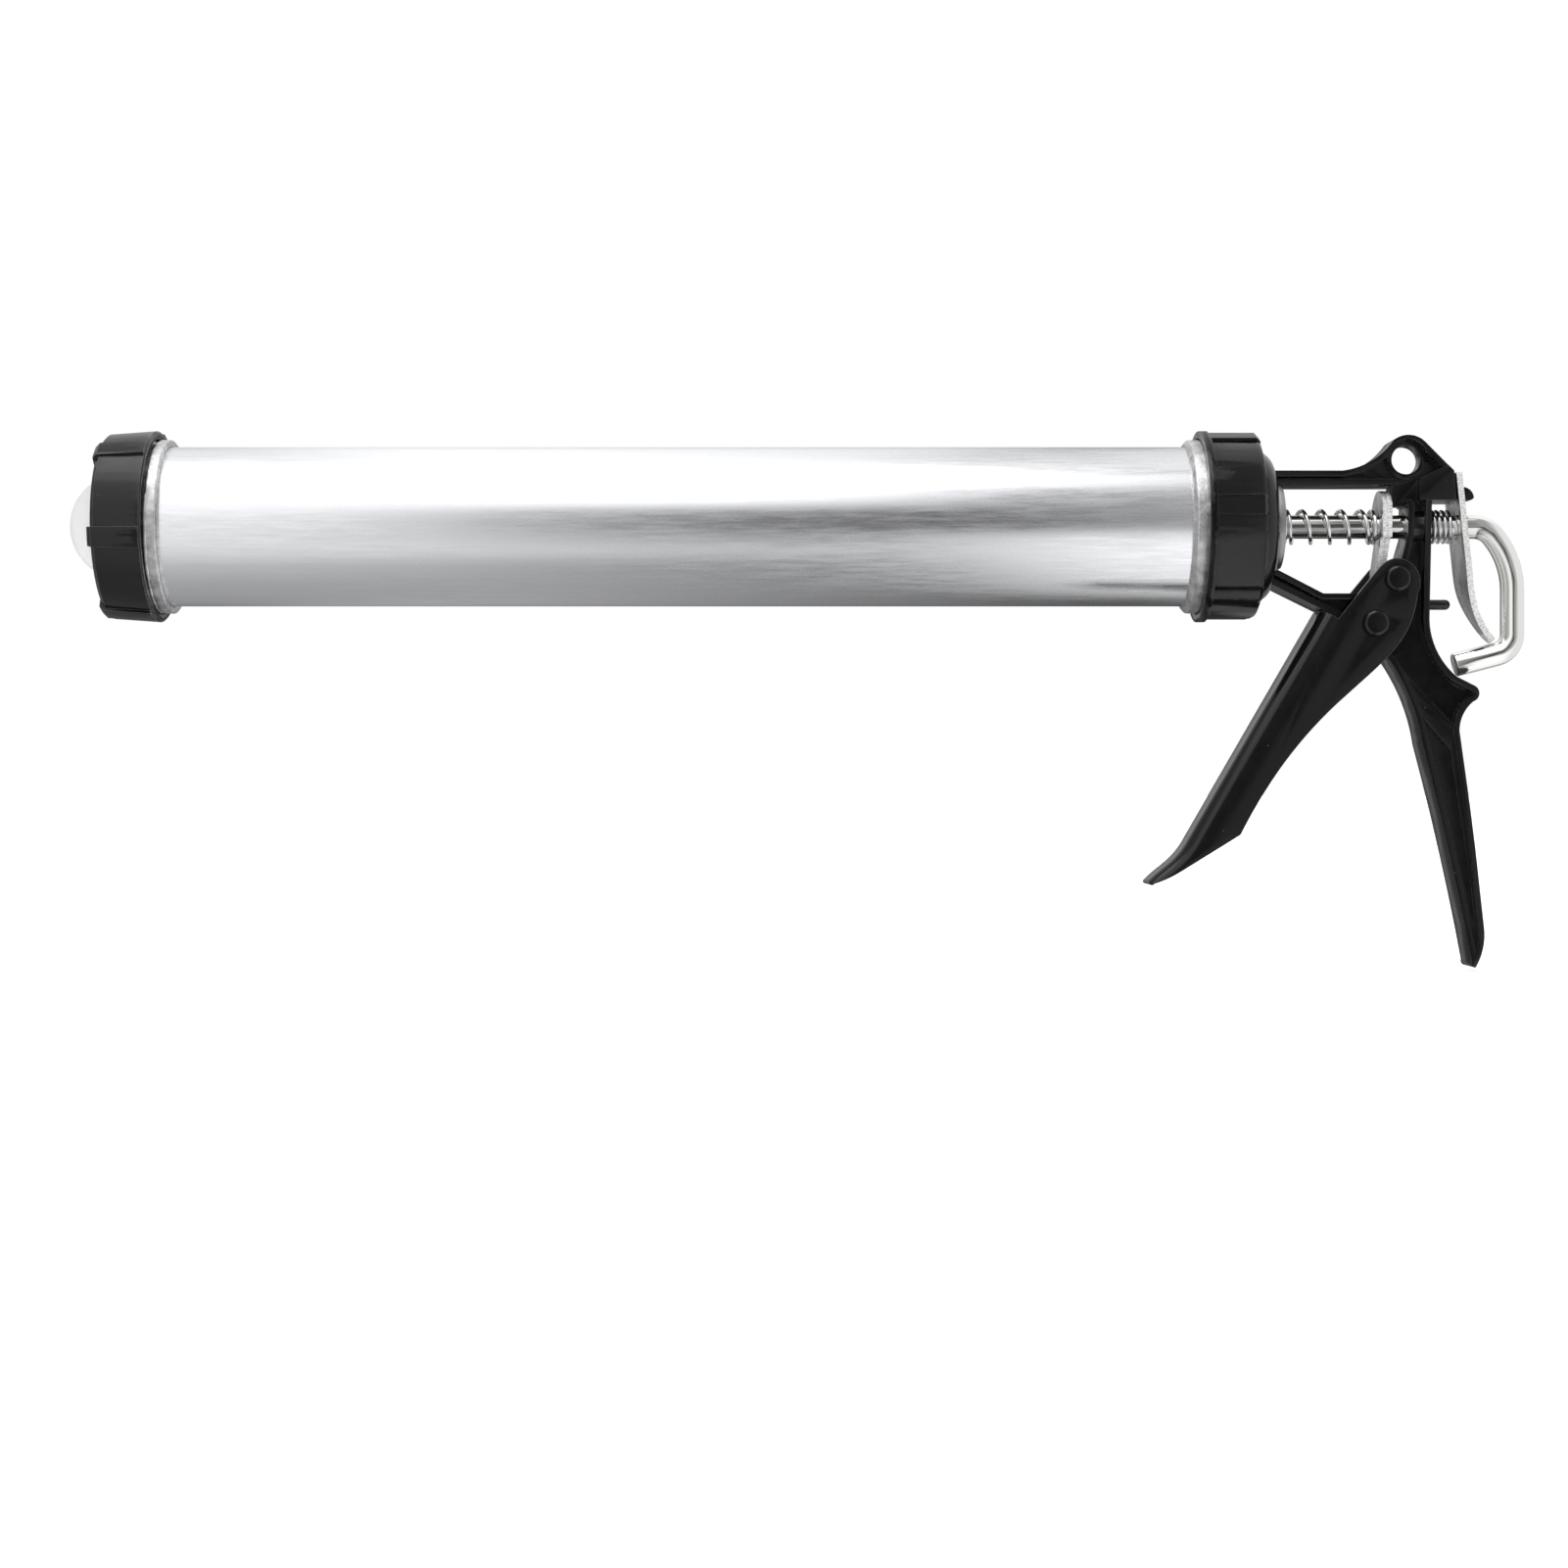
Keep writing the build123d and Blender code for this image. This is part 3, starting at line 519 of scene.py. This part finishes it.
def coil_mesh(x0, x1, radius, wire, turns_open, turns_closed, start_angle):
    """A compression spring: open coils between closed end coils, as one continuous wire of that radius."""
    close_pitch = CLOSED_PITCH * wire
    total = turns_open + 2 * turns_closed
    steps = int(total * COIL_STEPS)
    ends = turns_closed * close_pitch
    open_run = (x1 - x0 - 2 * wire) - 2 * ends
    centres = []
    for k in range(steps + 1):
        turn = total * k / steps
        if turn < turns_closed:
            along = turn * close_pitch
        elif turn > total - turns_closed:
            along = ends + open_run + (turn - turns_closed - turns_open) * close_pitch
        else:
            along = ends + open_run * (turn - turns_closed) / turns_open
        a = start_angle + 2 * math.pi * turn
        centres.append(Vector((x0 + wire + along, radius * math.cos(a), radius * math.sin(a))))

    def section(spot, direction, _):
        out = Vector((0, spot.y, spot.z)).normalized()
        side = direction.cross(out).normalized()
        up = side.cross(direction).normalized()
        return [spot + (up * math.cos(b) + side * math.sin(b)) * wire
                for b in (2 * math.pi * i / WIRE_SIDES for i in range(WIRE_SIDES))]

    return swept(centres, section)


def spring(name, node, coil):
    low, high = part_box(node)
    x0, x1 = low.x / MM + SPRING_END_GAP, high.x / MM - SPRING_END_GAP
    mesh = coil_mesh(x0, x1, **coil)
    smooth(mesh, 60)
    piece = new_piece(name, mesh, node, MATERIAL["spring_steel"])
    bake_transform(piece)


# ---------------------------------------------------------------- build the looks

barrel()
ring_low, ring_high = (corner.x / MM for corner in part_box("front_thread_ring"))
cap_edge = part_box("front_cap")[1].x / MM
thread_ring("front_thread_ring", (cap_edge + 0.6, ring_high), ring_low + THREAD_MARGIN, **FRONT_THREAD)
ring_low, ring_high = (corner.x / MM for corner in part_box("rear_thread_ring"))
cap_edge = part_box("rear_cap")[0].x / MM
thread_ring("rear_thread_ring", (ring_low + 1.3, cap_edge + 1.0), ring_high - THREAD_MARGIN, **REAR_THREAD)

spring("drive_spring_coil", "drive_spring", DRIVE_SPRING)
spring("brake_spring_coil", "brake_spring", BRAKE_SPRING)

ZINC = MATERIAL["zinc_steel"]
# node: bevel width in millimetres and the surface's material, then any of the rounded edges and of the
# faces across the axis; the black castings' rounded edges take a lighter paint that is a painted highlight
# along them
BEVELS = {
    "handle_frame": (0.6, PAINT, EDGE_HIGHLIGHT_PAINT),
    "trigger": (0.45, PAINT, EDGE_HIGHLIGHT_PAINT),
    "front_cap": (0.4, CAP_PAINT, EDGE_HIGHLIGHT_PAINT),
    "rear_cap": (0.4, CAP_PAINT, EDGE_HIGHLIGHT_PAINT),
    "trigger_pivot_rivet": (0.1, PAINT),
    "pusher_rivet": (0.1, PAINT),
    "release_lever": (0.3, EDGE, None, ZINC),
    "drive_plate_front": (0.2, EDGE, None, ZINC),
    "drive_plate_rear": (0.2, EDGE, None, ZINC),
    "pusher_roller": (0.2, ZINC),
    "rod_guide_bush": (0.15, MATERIAL["bush_steel"]),
    "swivel_flange": (0.2, ZINC),
    "rod_end_nut": (0.25, ZINC),
    "rod_rear_nut": (0.25, ZINC),
    "rod_end_washer": (0.2, ZINC),
    "rod_rear_washer": (0.2, ZINC),
    "piston_cup": (0.25, MATERIAL["seal_plastic"]),
    "piston_disc": (0.2, ZINC),
    "push_rod": (0.4, MATERIAL["rod_steel"]),
}
for node, (width, *finishes) in BEVELS.items():
    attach(with_bevel(node + "_finish", node, width, *finishes), BODY_OF[node])

for node in ("nozzle_base", "swivel_screws"):
    mesh = frame["nodes"][node].data
    mesh.materials.clear()
    mesh.materials.append(MATERIAL[SLOT_OF[node]])


# ---------------------------------------------------------------- studio

FLOOR_HALF = 14.0
FLOOR_GAP = 1.5


def floor():
    z = cad_box[0][2] - FLOOR_GAP * MM
    mesh = bpy.data.meshes.new("floor")
    corners = [(x, y, z) for x, y in ((-FLOOR_HALF, -FLOOR_HALF), (FLOOR_HALF, -FLOOR_HALF),
                                      (FLOOR_HALF, FLOOR_HALF), (-FLOOR_HALF, FLOOR_HALF))]
    mesh.from_pydata(corners, [], [(0, 1, 2, 3)])
    mesh.materials.append(studio_floor())
    obj = bpy.data.objects.new("studio_floor", mesh)
    scene.collection.objects.link(obj)
    # the gun's metal reflects the studio's dark front below it, not the bright table
    obj.visible_glossy = False


# brightness of the studio by angle in the plane across the barrel: 0 is the front, 90 overhead, 180 behind;
# one table for what the nozzle's end reflects, one for the barrel's middle and one for the mechanism
STUDIO_NOZZLE = [(-180, 0.10), (-150, 0.30), (-96, 0.42), (-65, 0.56), (-40, 0.85), (-10, 1.0), (30, 1.2),
                 (50, 1.5), (58, 2.4), (90, 2.4), (93, 0.95), (140, 0.8), (165, 0.5), (180, 0.10)]
STUDIO_MIDDLE = [(-180, 0.10), (-150, 0.22), (-96, 0.24), (-65, 0.24), (-52, 0.32), (-40, 0.54), (-28, 0.42),
                 (-16, 0.26), (-9, 0.17), (0, 0.13), (12, 0.16), (19, 0.28), (26, 0.9), (37, 1.6), (50, 1.9),
                 (58, 2.4), (90, 2.4), (93, 1.15), (140, 0.95), (165, 0.5), (180, 0.10)]
STUDIO_HAND = [(-180, 0.05), (-135, 0.10), (-112, 0.7), (-60, 0.95), (-20, 0.95), (-12, 0.5), (-7, 0.05),
               (38, 0.04), (60, 0.04), (84, 0.1), (90, 0.7), (140, 0.8), (165, 0.4), (180, 0.05)]
STUDIO_PEAK = 3.0
NOZZLE_WALL, HAND_WALL = 0.45, 0.9


def world():
    w = bpy.data.worlds.new("studio")
    scene.world = w
    w.use_nodes = True
    tree = w.node_tree
    background = tree.nodes["Background"]
    background.inputs["Color"].default_value = (1, 1, 1, 1)

    def add(kind, **settings):
        node = tree.nodes.new("ShaderNode" + kind)
        for key, value in settings.items():
            setattr(node, key, value)
        return node

    def feed(node, *values):
        for i, value in enumerate(values):
            if isinstance(value, bpy.types.NodeSocket):
                tree.links.new(value, node.inputs[i])
            elif value is not None:
                node.inputs[i].default_value = value
        return node.outputs[0]

    axes = add("SeparateXYZ")
    tree.links.new(add("TexCoord").outputs["Generated"], axes.inputs[0])
    x, y, z = axes.outputs
    front = feed(add("Math", operation="MULTIPLY"), y, -1.0)
    angle = feed(add("Math", operation="ARCTAN2"), z, front)
    turn = feed(add("Math", operation="MULTIPLY_ADD"), angle, 1 / (2 * math.pi), 0.5)

    def ring(table):
        """The brightness round the barrel that one table gives."""
        ramp = add("ValToRGB")
        tree.links.new(turn, ramp.inputs[0])
        stops = ramp.color_ramp.elements
        while len(stops) < len(table):
            stops.new(0.5)
        for stop, (degrees, light) in zip(stops, table):
            stop.position = degrees / 360 + 0.5
            stop.color = (*[light / STUDIO_PEAK] * 3, 1)
        return feed(add("Math", operation="MULTIPLY"), ramp.outputs["Color"], STUDIO_PEAK)

    def mix(factor, a, b):
        node = add("Mix", data_type="FLOAT")
        return feed(node, factor, None, a, b)

    def along(start, end, at_start=0.0, at_end=1.0):
        """A value that changes between two places along the barrel's axis."""
        return feed(add("MapRange"), x, start, end, at_start, at_end)

    # the studio changes along the barrel, and each end has a wall of its own
    dimmer = along(0.07, 0.14, 1.0, 0.45)
    lift = along(0.05, -0.15, 0.0, 0.22)
    middle = feed(add("Math", operation="MULTIPLY_ADD"), ring(STUDIO_MIDDLE), dimmer, lift)
    hand = feed(add("Math", operation="ADD"), ring(STUDIO_HAND), along(0.21, 0.27, 0.0, 0.35))
    bands = mix(along(-0.18, -0.23), middle, ring(STUDIO_NOZZLE))
    bands = mix(along(0.155, 0.175), bands, hand)
    lit = mix(along(-0.5, -0.75), bands, NOZZLE_WALL)
    lit = mix(along(0.45, 0.75), lit, HAND_WALL)
    # the backdrop itself is plain white
    result = mix(add("LightPath").outputs["Is Camera Ray"], lit, 1.0)
    tree.links.new(result, background.inputs["Strength"])


def area_light(name, spot, target, width, height, watts):
    data = bpy.data.lights.new(name, "AREA")
    data.shape = "RECTANGLE"
    data.size, data.size_y, data.energy = width, height, watts
    lamp = bpy.data.objects.new(name, data)
    lamp.location = spot
    lamp.rotation_euler = (Vector(target) - Vector(spot)).to_track_quat("-Z", "Y").to_euler()
    scene.collection.objects.link(lamp)


CAMERA_SPOT = (0.2423, -0.95, -0.0875)
SENSOR_WIDTH, CAMERA_LENS = 36, 64.05


def camera():
    data = bpy.data.cameras.new("camera")
    data.sensor_width, data.lens = SENSOR_WIDTH, CAMERA_LENS
    cam = bpy.data.objects.new("camera", data)
    cam.location = CAMERA_SPOT
    cam.rotation_euler = (math.radians(90), 0, 0)
    scene.collection.objects.link(cam)
    scene.camera = cam


floor()
world()
centre = (Vector(cad_box[0]) + Vector(cad_box[1])) / 2
area_light("overhead", centre + Vector((-0.1, -0.35, 1.1)), centre, 1.3, 0.5, 1.5)
camera()
scene.view_settings.view_transform = "Standard"
